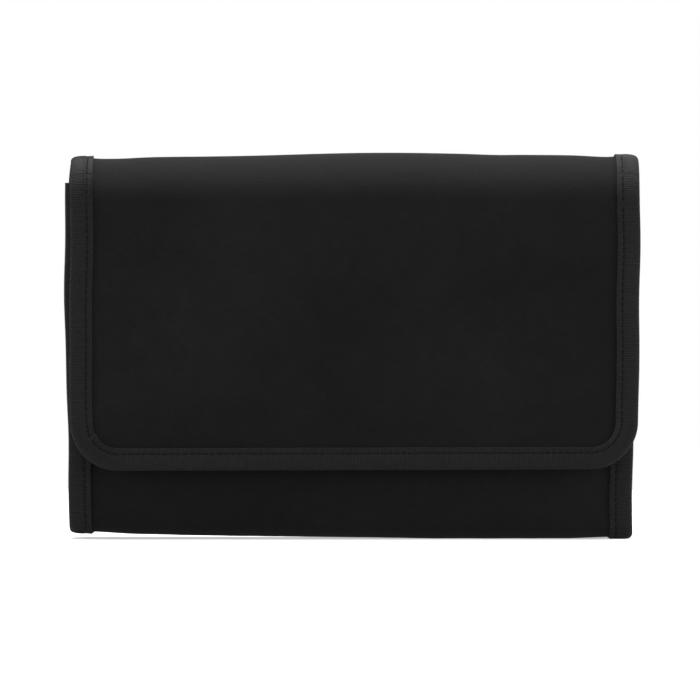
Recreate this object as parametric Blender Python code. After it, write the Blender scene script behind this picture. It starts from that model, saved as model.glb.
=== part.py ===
"""Hanging toiletry bag, folded shut and standing on its lower fold.

One long strip of cloth, bound down both edges with grosgrain tape, folds into three tiers:
the flap outside, the back, and the front tier, which stands between the two.
The hook hangs from the front tier's free edge, under the flap. Pulled up, it carries the
whole strip, with the front tier at the top and the flap at the bottom.
The back and the front tier each carry a wedge-shaped mesh pocket with a zip; the wedges nest.

Lengths are in millimetres and become metres where a mesh is made.
X runs along the width, -Y is the front, +Z is up. The origin is the bottom centre.
"""

import math

import bmesh
import bpy

MM = 0.001

# Driving dimensions of the folded bag
WIDTH = 250.0
HEIGHT = 170.5
DEPTH = 42.0
FLAP_HEM_Z = 30.3
FLAP_CORNER_R = 21.0
FRONT_TOP_Z = 157.5
BASE_CORNER_R = 6.0
ROLL_FOLDS = 5

# Tape and cloth
GAP = 0.3
HALF_GAP = GAP / 2
TAPE = 0.6
BINDING_WIDTH = 10.0
BINDING_EDGE_R = 0.8
CLOTH = 0.8
LINING = 0.6
FOAM = 1.2
MESH_CLOTH = 0.6

# Depths below the outer face of the binding
CLOTH_DEPTH = TAPE + GAP
THIN_LINING_DEPTH = CLOTH_DEPTH + CLOTH + GAP
THIN_BINDING = THIN_LINING_DEPTH + LINING + GAP + TAPE
FOAM_DEPTH = CLOTH_DEPTH + CLOTH + GAP
THICK_LINING_DEPTH = FOAM_DEPTH + FOAM + GAP
THICK_BINDING = THICK_LINING_DEPTH + LINING + GAP + TAPE

# Planes of the tiers
ROLL_R = DEPTH / 2
BACK_Y = DEPTH / 2
FLAP_Y = -DEPTH / 2
HOOK_SPACE = 5.6
FRONT_Y = FLAP_Y + THIN_LINING_DEPTH + LINING + HOOK_SPACE
ROLL_Z = HEIGHT - ROLL_R
EDGE_X = WIDTH / 2
CLOTH_X = EDGE_X - TAPE - GAP
ARC_STEP = math.radians(10)

# Fold lines: each lies just outside the cloth, where the straight runs beside it would meet
ROLL_TURN = math.pi / ROLL_FOLDS
ROLL_VERTEX = ROLL_R / math.cos(ROLL_TURN / 2)
BASE_FOLD = (BACK_Y, 0.0)
FRONT_FOLD = (FRONT_Y, 0.0)

# Pockets
BACK_LINING_Y = BACK_Y - THICK_LINING_DEPTH - LINING
FRONT_LINING_Y = FRONT_Y + THICK_LINING_DEPTH + LINING
POCKET_X = 104.0
BACK_ZIP_Z = 26.0
BACK_POCKET_BASE_Z = 142.0
BACK_POCKET_DEPTH = 18.5
FRONT_ZIP_Z = 134.0
FRONT_POCKET_BASE_Z = 16.0
FRONT_POCKET_DEPTH = 18.0

# Zips, measured across the tape and up from the lining
COIL = 1.8
COIL_SPLIT = 1.2
ZIP_LIFT = 1.8
ZIP_TAPE_WIDTH = 8.0
ZIP_X = 97.0
SLIDER_X = 88.0
SLIDER_LENGTH = 9.0
SLIDER_WIDTH = 7.0
SLIDER_PLATE = 0.7
SLIDER_CLEAR = 0.35
SLIDER_WEB = 0.6
POST_R = 0.9
POST_HEAD_R = 1.7
POST_HEAD = 0.5
PULL_LENGTH = 18.0
PULL_WIDTH = 5.4
PULL = 1.1
PULL_EYE_R = 1.2

# Hook: heights run along it from the line where its loop folds, which is at the free edge
HOOK_PIVOT_RISE = -0.4
HOOK_THICK = 3.4
HOOK_BAR_THICK = 1.6
HOOK_EYE_HALF = 14.0
HOOK_EYE = (4.2, 14.2)
HOOK_SLOT_HALF = 10.6
HOOK_SLOT = (8.8, 11.8)
HOOK_CENTRE = 31.2
HOOK_INNER_R = 13.0
HOOK_OUTER_R = 18.5
HOOK_SEAT_TURN = math.radians(18)
LOOP_HALF = 9.5
LOOP = (0.8, 10.8)
LOOP_THICK = 3.6
LOOP_WALL = 0.8
HOOK_MID_Y = FRONT_Y - GAP - LOOP_THICK / 2
HOOK_PIVOT = (HOOK_MID_Y + 0.5, FRONT_TOP_Z + HOOK_PIVOT_RISE)

# Hook-and-loop patches
PATCH_X = 75.0
PATCH_HALF = 25.0
PATCH_Z = (43.0, 61.0)
PATCH_THICK = 2.5

COLOURS = {
    "cloth": ((0.012, 0.012, 0.012), 0.9),
    "binding": ((0.017, 0.017, 0.017), 0.8),
    "lining": ((0.022, 0.022, 0.024), 0.85),
    "foam": ((0.25, 0.25, 0.26), 0.95),
    "mesh": ((0.02, 0.02, 0.02), 0.8),
    "zip_tape": ((0.015, 0.015, 0.015), 0.85),
    "zip_coil": ((0.018, 0.018, 0.018), 0.45),
    "zip_metal": ((0.03, 0.03, 0.03), 0.35),
    "hook_plastic": ((0.016, 0.016, 0.016), 0.4),
    "touch_tape": ((0.014, 0.014, 0.014), 0.95),
}


def clear_scene():
    for obj in list(bpy.data.objects):
        bpy.data.objects.remove(obj)


def material(name):
    """The Principled BSDF of one of COLOURS, made once."""
    if name in bpy.data.materials:
        return bpy.data.materials[name]
    colour, roughness = COLOURS[name]
    made = bpy.data.materials.new(name)
    made.use_nodes = True
    shader = made.node_tree.nodes["Principled BSDF"]
    shader.inputs["Base Color"].default_value = (*colour, 1)
    shader.inputs["Roughness"].default_value = roughness
    shader.inputs["Metallic"].default_value = 0.8 if name == "zip_metal" else 0.0
    return made


class Body:
    """An empty on a joint's axis, to which the pieces that move together are parented."""

    def __init__(self, name, place, parent=None):
        self.place = place
        self.empty = bpy.data.objects.new(f"axis_{name}", None)
        bpy.context.scene.collection.objects.link(self.empty)
        start = parent.place if parent else (0.0, 0.0, 0.0)
        self.empty.location = [(a - b) * MM for a, b in zip(place, start)]
        if parent:
            self.empty.parent = parent.empty

    def add(self, name, look, points, faces, smooth=False):
        """A mesh object of this body from points in the bag's own frame."""
        mesh = bpy.data.meshes.new(name)
        local = [[(p - o) * MM for p, o in zip(point, self.place)] for point in points]
        mesh.from_pydata(local, [], faces)
        shape = bmesh.new()
        shape.from_mesh(mesh)
        bmesh.ops.recalc_face_normals(shape, faces=shape.faces)
        shape.to_mesh(mesh)
        shape.free()
        if smooth:
            mesh.shade_smooth()
            mesh.set_sharp_from_angle(angle=math.radians(35))
        mesh.materials.append(material(look))
        obj = bpy.data.objects.new(name, mesh)
        bpy.context.scene.collection.objects.link(obj)
        obj.parent = self.empty
        return obj


class Strip:
    """The line that the outer face of the binding follows in the YZ plane.

    It starts at the flap's free edge, climbs the flap, rolls over the top, falls down the back,
    passes under the base and climbs the front tier. Depth is measured inwards from it.
    """

    def __init__(self):
        r = BASE_CORNER_R
        quarter = math.pi / 2
        self.pieces = [
            ("line", (FLAP_Y, FLAP_HEM_Z), (FLAP_Y, ROLL_Z)),
            ("arc", (0.0, ROLL_Z), ROLL_R, math.pi, 0.0),
            ("line", (BACK_Y, ROLL_Z), (BACK_Y, r)),
            ("arc", (BACK_Y - r, r), r, 0.0, -quarter),
            ("line", (BACK_Y - r, 0.0), (FRONT_Y + r, 0.0)),
            ("arc", (FRONT_Y + r, r), r, -quarter, -2 * quarter),
            ("line", (FRONT_Y, r), (FRONT_Y, FRONT_TOP_Z)),
        ]
        self.starts = [0.0]
        for piece in self.pieces:
            self.starts.append(self.starts[-1] + self.length(piece))

    @staticmethod
    def length(piece):
        if piece[0] == "line":
            return math.dist(piece[1], piece[2])
        return piece[2] * abs(piece[4] - piece[3])

    def at(self, u):
        """(point, tangent) at distance u along the strip, each as (y, z)."""
        index = 0
        while index < len(self.pieces) - 1 and u > self.starts[index + 1]:
            index += 1
        piece = self.pieces[index]
        share = (u - self.starts[index]) / self.length(piece)
        if piece[0] == "line":
            (y0, z0), (y1, z1) = piece[1:]
            size = self.length(piece)
            return (y0 + (y1 - y0) * share, z0 + (z1 - z0) * share), ((y1 - y0) / size, (z1 - z0) / size)
        (yc, zc), r, a0, a1 = piece[1:]
        a = a0 + (a1 - a0) * share
        return (yc + r * math.cos(a), zc + r * math.sin(a)), (math.sin(a), -math.cos(a))

    def place(self, x, u, depth):
        """The point of the bag at x across, u along and depth inside the strip."""
        (y, z), (ty, tz) = self.at(u)
        return (x, y + depth * tz, z - depth * ty)

    def stations(self, u0, u1):
        """Distances from u0 to u1, closer together round the arcs."""
        found = [u0, u1]
        for start, piece in zip(self.starts, self.pieces):
            end = start + self.length(piece)
            found += [u for u in (start, end) if u0 < u < u1]
            if piece[0] == "arc":
                steps = math.ceil(abs(piece[4] - piece[3]) / ARC_STEP)
                inner = [start + (end - start) * i / steps for i in range(1, steps)]
                found += [u for u in inner if u0 + 0.5 < u < u1 - 0.5]
        return sorted(set(found))


strip = Strip()
ROLL_STEP = ROLL_R * ROLL_TURN
ROLL_FIRST, ROLL_LAST = strip.starts[1] + ROLL_STEP / 2, strip.starts[2] - ROLL_STEP / 2
BASE_ARC = BASE_CORNER_R * math.pi / 4
CUTS = {
    "flap": (0.0, ROLL_FIRST),
    "back": (ROLL_LAST, strip.starts[3] + BASE_ARC),
    "base": (strip.starts[3] + BASE_ARC, strip.starts[5] + BASE_ARC),
    "front": (strip.starts[5] + BASE_ARC, strip.starts[7]),
}
for number in range(1, ROLL_FOLDS):
    CUTS[f"roll_{number}"] = (ROLL_LAST - number * ROLL_STEP, ROLL_LAST - (number - 1) * ROLL_STEP)


def span(tier, start=HALF_GAP, end=HALF_GAP):
    """Where a tier's cloth starts and ends along the strip, less the clearance at each fold."""
    u0, u1 = CUTS[tier]
    return u0 + start, u1 - end


def loft(rings):
    """Points and faces of a solid that joins closed rings of equal length, with both ends capped."""
    count = len(rings[0])
    points = [point for ring in rings for point in ring]
    faces = [tuple(range(count)), tuple(range(len(points) - count, len(points)))]
    for r in range(len(rings) - 1):
        for i in range(count):
            j = (i + 1) % count
            faces.append((r * count + i, r * count + j, (r + 1) * count + j, (r + 1) * count + i))
    return points, faces


def cloth(body, name, look, ends, depth, thick, half, corner_r=0.0):
    """A sheet that follows the strip between two distances, with the corners at its start rounded."""
    u0, u1 = ends
    stations = [(u, half) for u in strip.stations(u0 + corner_r, u1)]
    if corner_r:
        steps = 8
        turns = [math.pi / 2 * i / steps for i in range(steps)]
        rounded = [
            (u0 + corner_r * (1 - math.cos(t)), half - corner_r * (1 - math.sin(t))) for t in turns
        ]
        stations = rounded + stations
    rings = [
        [
            strip.place(-w, u, depth),
            strip.place(w, u, depth),
            strip.place(w, u, depth + thick),
            strip.place(-w, u, depth + thick),
        ]
        for u, w in stations
    ]
    return body.add(name, look, *loft(rings), smooth=True)


def binding(body, name, route, thick):
    """Folded tape round an edge. Each station of the route is (x, u, inward x, inward u)."""
    e, w, t = BINDING_EDGE_R, BINDING_WIDTH, TAPE
    section = [
        (0, e), (e, 0), (w, 0), (w, t), (t, t), (t, thick - t),
        (w, thick - t), (w, thick), (e, thick), (0, thick - e),
    ]
    rings = [
        [strip.place(x + dx * a, u + du * a, b) for a, b in section] for x, u, dx, du in route
    ]
    return body.add(name, "binding", *loft(rings), smooth=True)


def edge_binding(body, name, side, ends, thick):
    """Tape down one long edge; side is -1 for the left and 1 for the right."""
    route = [(side * EDGE_X, u, -side, 0.0) for u in strip.stations(*ends)]
    return binding(body, name, route, thick)


def flap_binding(body, name, u_end, thick):
    """One tape that runs down the left edge of the flap, round its free edge and up the right."""
    side = [(-EDGE_X, u, 1.0, 0.0) for u in reversed(strip.stations(FLAP_CORNER_R, u_end))]
    steps = 8
    corner = []
    for i in range(1, steps + 1):
        a = math.pi / 2 * i / steps
        out_x, out_u = -math.cos(a), -math.sin(a)
        middle = -EDGE_X + FLAP_CORNER_R
        corner.append(
            (middle + FLAP_CORNER_R * out_x, FLAP_CORNER_R * (1 + out_u), -out_x, -out_u)
        )
    half = side + corner
    other = [(-x, u, -dx, du) for x, u, dx, du in reversed(half)]
    return binding(body, name, half + other, thick)


def block(body, name, look, x, y, z, smooth=False):
    """A box between two values on each axis."""
    rings = [[(x[i], y[0], z[0]), (x[i], y[1], z[0]), (x[i], y[1], z[1]), (x[i], y[0], z[1])] for i in (0, 1)]
    return body.add(name, look, *loft(rings), smooth=smooth)


def across(body, name, look, outline, x0, x1):
    """A solid with a (y, z) outline that runs from x0 to x1."""
    return body.add(name, look, *loft([[(x, y, z) for y, z in outline] for x in (x0, x1)]))


def cut(obj, cutter):
    """Takes the cutter's shape out of obj."""
    cutter.hide_render = True
    cutter.display_type = "WIRE"
    change = obj.modifiers.new("cut", "BOOLEAN")
    change.operation = "DIFFERENCE"
    change.solver = "EXACT"
    change.object = cutter


def join(obj, other):
    """Adds the other solid's shape to obj."""
    other.hide_render = True
    other.display_type = "WIRE"
    change = obj.modifiers.new("join", "BOOLEAN")
    change.operation = "UNION"
    change.solver = "EXACT"
    change.object = other


def ring_y(centre_x, centre_z, r, y, sides=16):
    """A circle of points in a plane of constant y."""
    turn = 2 * math.pi / sides
    return [
        (centre_x + r * math.cos(turn * i), y, centre_z + r * math.sin(turn * i)) for i in range(sides)
    ]


# ---------------------------------------------------------------- the strip, tier by tier


def thin_tier(body, name):
    """Cloth, lining and two bindings of a fold, which has no foam so that it bends."""
    cloth(body, f"{name}_cloth", "cloth", span(name), CLOTH_DEPTH, CLOTH, CLOTH_X)
    cloth(body, f"{name}_lining", "lining", span(name), THIN_LINING_DEPTH, LINING, CLOTH_X)
    for side, word in ((-1, "left"), (1, "right")):
        edge_binding(body, f"{name}_binding_{word}", side, span(name), THIN_BINDING)


def padded_tier(body, name, end_inset):
    """Cloth, foam board, lining and two bindings of a stiffened tier."""
    ends = span(name, GAP, end_inset)
    foam_inset = BINDING_WIDTH + 1.0
    cloth(body, f"{name}_cloth", "cloth", ends, CLOTH_DEPTH, CLOTH, CLOTH_X)
    foam_ends = strip_flat(name, foam_inset)
    cloth(body, f"{name}_foam", "foam", foam_ends, FOAM_DEPTH, FOAM, EDGE_X - foam_inset)
    cloth(body, f"{name}_lining", "lining", ends, THICK_LINING_DEPTH, LINING, CLOTH_X)
    for side, word in ((-1, "left"), (1, "right")):
        edge_binding(body, f"{name}_binding_{word}", side, span(name), THICK_BINDING)


def strip_flat(name, inset):
    """Where the flat part of a stiffened tier starts and ends, less an inset."""
    piece = {"back": 2, "front": 6}[name]
    return strip.starts[piece] + inset, strip.starts[piece + 1] - inset


def patches(body, name, y0, y1):
    """The two strips of hook-and-loop tape on one side of the closure."""
    for side, word in ((-1, "left"), (1, "right")):
        middle = side * PATCH_X
        ends = (middle - PATCH_HALF, middle + PATCH_HALF)
        block(body, f"{name}_{word}", "touch_tape", ends, (y0, y1), PATCH_Z)


def make_flap(body):
    u0, u1 = span("flap", 0.0)
    inset = TAPE + GAP
    corner = FLAP_CORNER_R - inset
    cloth(body, "flap_cloth", "cloth", (u0 + inset, u1), CLOTH_DEPTH, CLOTH, CLOTH_X, corner)
    cloth(body, "flap_lining", "lining", (u0 + inset, u1), THIN_LINING_DEPTH, LINING, CLOTH_X, corner)
    flap_binding(body, "flap_binding", u1, THIN_BINDING)
    face = FLAP_Y + THIN_LINING_DEPTH + LINING + GAP
    patches(body, "flap_hook_patch", face, face + PATCH_THICK)


def make_front_trim(body):
    """The hem at the front tier's free edge, and the patches that the flap closes on."""
    e, w, t, d = BINDING_EDGE_R, BINDING_WIDTH, TAPE, THICK_BINDING
    corners = ((0, e), (e, 0), (w, 0), (w, t), (t, t), (t, d - t), (w, d - t), (w, d), (e, d), (0, d - e))
    section = [(FRONT_Y + b, FRONT_TOP_Z - a) for a, b in corners]
    half = EDGE_X - BINDING_WIDTH - GAP
    across(body, "front_hem", "binding", section, -half, half)
    face = FRONT_Y + CLOTH_DEPTH - GAP
    patches(body, "front_loop_patch", face - PATCH_THICK, face)


# ---------------------------------------------------------------- pockets and zips


class Face:
    """A tier's inner face: s runs from a pocket's mouth to its base, h runs off the lining."""

    def __init__(self, y, z, up, out):
        self.y, self.z, self.up, self.out = y, z, up, out

    def yz(self, s, h):
        return self.y + self.out * h, self.z + self.up * s

    def plate(self, body, name, look, corners, x0, x1):
        """A solid whose outline is given as (s, h) corners, between two values of x."""
        return across(body, name, look, [self.yz(s, h) for s, h in corners], x0, x1)


def make_pocket(body, name, face, length, depth):
    """A mesh front, a base gusset and two side gussets, in the shape of a wedge."""
    half_chain = COIL + COIL_SPLIT / 2
    start = half_chain + GAP + ZIP_TAPE_WIDTH + GAP
    rise = ZIP_LIFT + COIL / 2
    t = MESH_CLOTH
    mouth, base = (start, rise), (length, depth)
    slope = (base[1] - mouth[1]) / (base[0] - mouth[0])
    face.plate(
        body, f"{name}_pocket_mesh", "mesh",
        [mouth, base, (base[0], base[1] - t), (mouth[0], mouth[1] - t)], -POCKET_X, POCKET_X,
    )
    foot = depth - slope * t - t - GAP
    face.plate(
        body, f"{name}_gusset_base", "cloth",
        [(length - t, GAP), (length, GAP), (length, foot), (length - t, foot)], -POCKET_X, POCKET_X,
    )
    last = length - t - GAP
    top_here = rise - t - GAP
    top_there = rise + slope * (last - start) - t - GAP
    for side, word in ((-1, "left"), (1, "right")):
        x0, x1 = sorted((side * POCKET_X, side * (POCKET_X - t)))
        face.plate(
            body, f"{name}_gusset_{word}", "cloth",
            [(start, GAP), (last, GAP), (last, top_there), (start, top_here)], x0, x1,
        )


def make_zip(body, name, face):
    """Two coils with a slit between them, and a tape beside each, all parallel to the lining."""
    low, high = ZIP_LIFT, ZIP_LIFT + COIL
    middle = (low + high) / 2
    half_tape = TAPE / 2
    for sign, word in ((-1, "lining"), (1, "pocket")):
        s0, s1 = sign * COIL_SPLIT / 2, sign * (COIL_SPLIT / 2 + COIL)
        face.plate(
            body, f"{name}_coil_{word}_side", "zip_coil",
            [(s0, low), (s1, low), (s1, high), (s0, high)], -ZIP_X, ZIP_X,
        )
        t0, t1 = s1 + sign * GAP, s1 + sign * (GAP + ZIP_TAPE_WIDTH)
        below, above = middle - half_tape, middle + half_tape
        face.plate(
            body, f"{name}_zip_tape_{word}_side", "zip_tape",
            [(t0, below), (t1, below), (t1, above), (t0, above)], -POCKET_X, POCKET_X,
        )


def make_slider(parent, name, face):
    """An I-shaped slider with its web in the slit of the coils, and a pull that swings on its post."""
    y, z = face.yz(0, ZIP_LIFT)
    slider = Body(f"{name}_slider", (SLIDER_X, y, z), parent)
    half, web = SLIDER_WIDTH / 2, SLIDER_WEB / 2
    low = ZIP_LIFT - SLIDER_CLEAR
    high = ZIP_LIFT + COIL + SLIDER_CLEAR
    floor, roof = low - SLIDER_PLATE, high + SLIDER_PLATE
    outline = [
        (-half, floor), (half, floor), (half, low), (web, low), (web, high), (half, high),
        (half, roof), (-half, roof), (-half, high), (-web, high), (-web, low), (-half, low),
    ]
    ends = (SLIDER_X - SLIDER_LENGTH / 2, SLIDER_X + SLIDER_LENGTH / 2)
    plate = face.plate(slider, f"{name}_slider", "zip_metal", outline, *ends)
    eye_low, eye_high = roof + GAP, roof + GAP + PULL
    head_low = eye_high + GAP
    head_high = head_low + POST_HEAD
    profile = [(POST_R, roof - 0.3), (POST_R, head_low), (POST_HEAD_R, head_low), (POST_HEAD_R, head_high)]
    rings = [ring_y(SLIDER_X, z, r, face.yz(0, h)[0]) for r, h in profile]
    join(plate, slider.add(f"{name}_post", "zip_metal", *loft(rings)))

    pull = Body(f"{name}_pull", (SLIDER_X, face.yz(0, eye_low)[0], z), slider)
    half = PULL_WIDTH / 2
    sides = 10
    outline = [
        (SLIDER_X + half * math.cos(math.pi * i / sides), z + half * math.sin(math.pi * i / sides))
        for i in range(sides + 1)
    ]
    outline += [
        (SLIDER_X - half, z - PULL_LENGTH + half), (SLIDER_X - half / 2, z - PULL_LENGTH),
        (SLIDER_X + half / 2, z - PULL_LENGTH), (SLIDER_X + half, z - PULL_LENGTH + half),
    ]
    rings = [[(x, face.yz(0, h)[0], zz) for x, zz in outline] for h in (eye_low, eye_high)]
    tab = pull.add(f"{name}_pull", "zip_metal", *loft(rings))
    over = 1.0
    rings = [ring_y(SLIDER_X, z, PULL_EYE_R, face.yz(0, h)[0]) for h in (eye_low - over, eye_high + over)]
    cut(tab, pull.add(f"{name}_pull_eye", "zip_metal", *loft(rings)))


# ---------------------------------------------------------------- hook


def hook_outline():
    """The hook as (x, height): an eye block, a neck and an open ring with a flat seat."""
    low, high = HOOK_EYE
    half = HOOK_EYE_HALF
    tip, root = math.radians(15), math.radians(215)
    neck = math.radians(262)

    def ring(r, a):
        return r * math.cos(a), HOOK_CENTRE + r * math.sin(a)

    steps = 14
    outer = [ring(HOOK_OUTER_R, root + (tip - root) * i / steps) for i in range(steps + 1)]
    seat = (math.pi / 2 - HOOK_SEAT_TURN, math.pi / 2 + HOOK_SEAT_TURN)
    inner = [ring(HOOK_INNER_R, tip + (seat[0] - tip) * i / 4) for i in range(5)]
    inner += [ring(HOOK_INNER_R, seat[1] + (neck - seat[1]) * i / 9) for i in range(10)]
    return [(half, low), (-half, low), (-half, high - 2), *outer, *inner, (half - 3, high), (half, high - 2)]


def make_hook(body):
    """The hook and its loop of tape, hanging down from the free edge, crown lowest."""
    pivot_z = HOOK_PIVOT[1]

    def span_z(low, high):
        return pivot_z - high, pivot_z - low

    near, far = HOOK_MID_Y - HOOK_THICK / 2, HOOK_MID_Y + HOOK_THICK / 2
    outline = [(x, pivot_z - height) for x, height in hook_outline()]
    hook = body.add("hook", "hook_plastic", *loft([[(x, y, z) for x, z in outline] for y in (near, far)]))
    half, over = HOOK_SLOT_HALF, 2.0
    slot = span_z(*HOOK_SLOT)
    cut(hook, block(body, "hook_slot", "hook_plastic", (-half, half), (near - over, far + over), slot))
    bar = HOOK_BAR_THICK / 2
    relief = span_z(HOOK_EYE[0] - over, HOOK_SLOT[1] - 0.1)
    for word, y in (("near", (near - over, HOOK_MID_Y - bar)), ("far", (HOOK_MID_Y + bar, far + over))):
        cut(hook, block(body, f"hook_relief_{word}", "hook_plastic", (-half, half), y, relief))

    y0, y1 = HOOK_MID_Y - LOOP_THICK / 2, HOOK_MID_Y + LOOP_THICK / 2
    w = LOOP_WALL
    loop = block(body, "hook_loop", "binding", (-LOOP_HALF, LOOP_HALF), (y0, y1), span_z(*LOOP))
    hole = span_z(HOOK_EYE[0] - GAP, LOOP[1] - w)
    ends = (-LOOP_HALF - over, LOOP_HALF + over)
    cut(loop, block(body, "hook_loop_hole", "binding", ends, (y0 + w, y1 - w), hole))


def roll_fold(number):
    """(y, z) of one fold line of the rounded top; 1 is the one beside the back."""
    a = ROLL_TURN * (number - 0.5)
    return ROLL_VERTEX * math.cos(a), ROLL_Z + ROLL_VERTEX * math.sin(a)


def make_roll(back):
    """The rounded top as a chain of short arcs from the back to the flap; returns the flap's body."""
    body = back
    for number in range(1, ROLL_FOLDS):
        body = Body(f"roll_{number}", (0.0, *roll_fold(number)), body)
        thin_tier(body, f"roll_{number}")
    return Body("flap", (0.0, *roll_fold(ROLL_FOLDS)), body)


def main():
    clear_scene()
    bpy.context.scene.unit_settings.system = "METRIC"
    base = Body("base", (0.0, 0.0, 0.0))
    back = Body("back", (0.0, *BASE_FOLD), base)
    front = Body("front", (0.0, *FRONT_FOLD), base)
    hook = Body("hook", (0.0, *HOOK_PIVOT), front)

    padded_tier(back, "back", GAP)
    make_flap(make_roll(back))
    thin_tier(base, "base")
    padded_tier(front, "front", HALF_GAP + TAPE + GAP)
    make_front_trim(front)
    make_hook(hook)

    back_face = Face(BACK_LINING_Y, BACK_ZIP_Z, 1, -1)
    front_face = Face(FRONT_LINING_Y, FRONT_ZIP_Z, -1, 1)
    make_pocket(back, "back", back_face, BACK_POCKET_BASE_Z - BACK_ZIP_Z, BACK_POCKET_DEPTH)
    make_pocket(front, "front", front_face, FRONT_ZIP_Z - FRONT_POCKET_BASE_Z, FRONT_POCKET_DEPTH)
    for tier, name, face in ((back, "back", back_face), (front, "front", front_face)):
        make_zip(tier, name, face)
        make_slider(tier, name, face)


main()
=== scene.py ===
"""Looks of the hanging toiletry bag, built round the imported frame.

The outside is one strip of cloth that starts at the flap's free edge, rolls over the top, falls
down the back, passes under the base and climbs the front tier. Every piece on it is placed by
three values: x across the bag, u along the strip, and the depth below the strip's outer face.
All lengths are in metres.
"""

import math
import random

import bpy
import numpy as np
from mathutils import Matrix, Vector, noise


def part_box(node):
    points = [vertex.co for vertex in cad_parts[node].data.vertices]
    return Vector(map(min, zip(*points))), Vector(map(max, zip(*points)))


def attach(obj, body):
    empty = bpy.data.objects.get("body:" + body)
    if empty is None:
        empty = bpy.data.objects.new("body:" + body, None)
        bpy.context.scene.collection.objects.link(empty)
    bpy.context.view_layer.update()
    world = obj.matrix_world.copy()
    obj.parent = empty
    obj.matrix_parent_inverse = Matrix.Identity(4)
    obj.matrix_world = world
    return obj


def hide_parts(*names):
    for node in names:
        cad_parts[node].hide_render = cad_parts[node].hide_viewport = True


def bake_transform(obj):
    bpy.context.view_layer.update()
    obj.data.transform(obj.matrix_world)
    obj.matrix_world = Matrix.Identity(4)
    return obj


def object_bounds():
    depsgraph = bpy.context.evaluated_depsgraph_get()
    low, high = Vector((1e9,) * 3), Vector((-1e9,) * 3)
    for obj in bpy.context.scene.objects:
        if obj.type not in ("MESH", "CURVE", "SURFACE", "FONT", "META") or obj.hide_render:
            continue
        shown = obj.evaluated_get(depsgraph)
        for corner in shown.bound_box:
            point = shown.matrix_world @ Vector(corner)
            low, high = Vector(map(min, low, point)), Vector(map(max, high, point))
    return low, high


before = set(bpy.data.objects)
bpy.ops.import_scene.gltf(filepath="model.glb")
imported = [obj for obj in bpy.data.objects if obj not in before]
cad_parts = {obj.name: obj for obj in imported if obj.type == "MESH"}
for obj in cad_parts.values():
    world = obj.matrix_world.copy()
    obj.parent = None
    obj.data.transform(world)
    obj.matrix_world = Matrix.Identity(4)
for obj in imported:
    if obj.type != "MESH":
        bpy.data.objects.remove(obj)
cad_lo, cad_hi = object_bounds()

# ---- sizes, from the frame

EDGE_X = cad_hi.x
FLAP_Y, BACK_Y = cad_lo.y, cad_hi.y
ROLL_R = (BACK_Y - FLAP_Y) / 2
ROLL_Z = cad_hi.z - ROLL_R
FLAP_HEM_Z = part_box("flap_binding")[0].z
FRONT_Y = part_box("front_binding_left")[0].y
FRONT_TOP_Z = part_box("front_hem")[1].z

BASE_CORNER_R = 0.006
ROLL_FOLDS = 5
FLAP_CORNER_R = 0.021
BINDING_WIDTH = 0.010
PUCKER_HEIGHT = 0.00022
PUCKER_PITCH = 0.0052
TAPE = 0.0006
CLOTH_DEPTH = 0.0009
CLOTH = 0.0008
LINING = 0.0006
THIN_LINING_DEPTH = 0.0020
THICK_LINING_DEPTH = 0.0035
THIN_BINDING = 0.0035
THICK_BINDING = 0.0050
GRID = 0.0025
FOLD_GRID = 0.0008

RIB = 0.0008
RIB_RISE = 0.00009
STITCH = 0.0030
STITCH_INSET = 0.0026
THREAD_R = 0.00024
THREAD_DEPTH = 0.00014
THREAD_SIDES = 6
FINE_THREAD_R = THREAD_R * 0.8

VIEW_WIDTH = 0.3087
VIEW_CENTRE = (-0.00097, 0.0837)
LENS = 300.0
SENSOR = 36.0

# each light: name, place, target, size, power in watts, spread in degrees
BAG_MIDDLE = (0.0, 0.0, 0.07)
LIGHTS = [
    ("overhead", (0.0, 0.1, 2.0), (0.0, -0.25, 0.0), (3.6, 3.6), 100.0, 50.0),
    ("front", (0.1, -3.0, 0.12), BAG_MIDDLE, (1.6, 0.5), 9.0, 120.0),
    ("beside_-1", (-1.6, -0.7, 0.5), BAG_MIDDLE, (0.7, 1.0), 8.0, 120.0),
    ("beside_1", (1.6, -0.7, 0.5), BAG_MIDDLE, (0.7, 1.0), 10.0, 120.0),
]
FLOOR_FAR, FLOOR_NEAR, FLOOR_SIDE = 0.9, -2.0, 1.7


# how the worn bag departs from the flat strip: sideways, up at the crown, and at its lower edges
FLAP_SHIFT, FLAP_LEAN = 0.0011, 0.0065
BEHIND_SHIFT, BEHIND_LEAN, BEHIND_TAPER = -0.0004, -0.003, -0.0023
WANDERS = ((0.00025, 61, 1.3), (0.00015, 143, 0.0))
BOW_HEIGHT, BOW_BASE, BOW_TILT, BOW_SHOULDER = 0.0014, -0.0012, 0.0008, 0.0003
CORNER_LIFT, BOTTOM_SAG, HEM_LIFT = 0.0025, 0.00045, 0.0007

# the cloth's slackness: two lifted corners and a band on the flap, and the sag of the base
LEFT_CURL, RIGHT_CURL, BAND_CURL, BASE_SAG = 0.0016, 0.0018, 0.0009, 0.0006
SWELL_CAP = 0.0016
SETTLE_FRAMES = 21
SETTLE_GRID = 0.004

# patches of lighter and darker cloth: their scale and how much they change the colour; the large
# ones are painted light and shade standing in for the soft folds and their sheen, the small ones
# are the cloth's own uneven tone
CLOTH_TONE_AND_PAINTED_SHADE = ((14.0, 0.6), (170.0, 0.3))
WEAR_SCALE = 160.0


# ---- camera, light and floor


def make_camera():
    """Head-on with a long lens, so that the view is close to parallel."""
    data = bpy.data.cameras.new("camera")
    data.lens, data.sensor_width = LENS, SENSOR
    distance = VIEW_WIDTH * LENS / SENSOR
    camera = bpy.data.objects.new("camera", data)
    camera.location = (VIEW_CENTRE[0], FLAP_Y - distance, VIEW_CENTRE[1])
    camera.rotation_euler = (math.pi / 2, 0.0, 0.0)
    data.clip_end = 50.0
    add_to_scene(camera)
    bpy.context.scene.camera = camera


def add_to_scene(obj):
    bpy.context.scene.collection.objects.link(obj)


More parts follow.
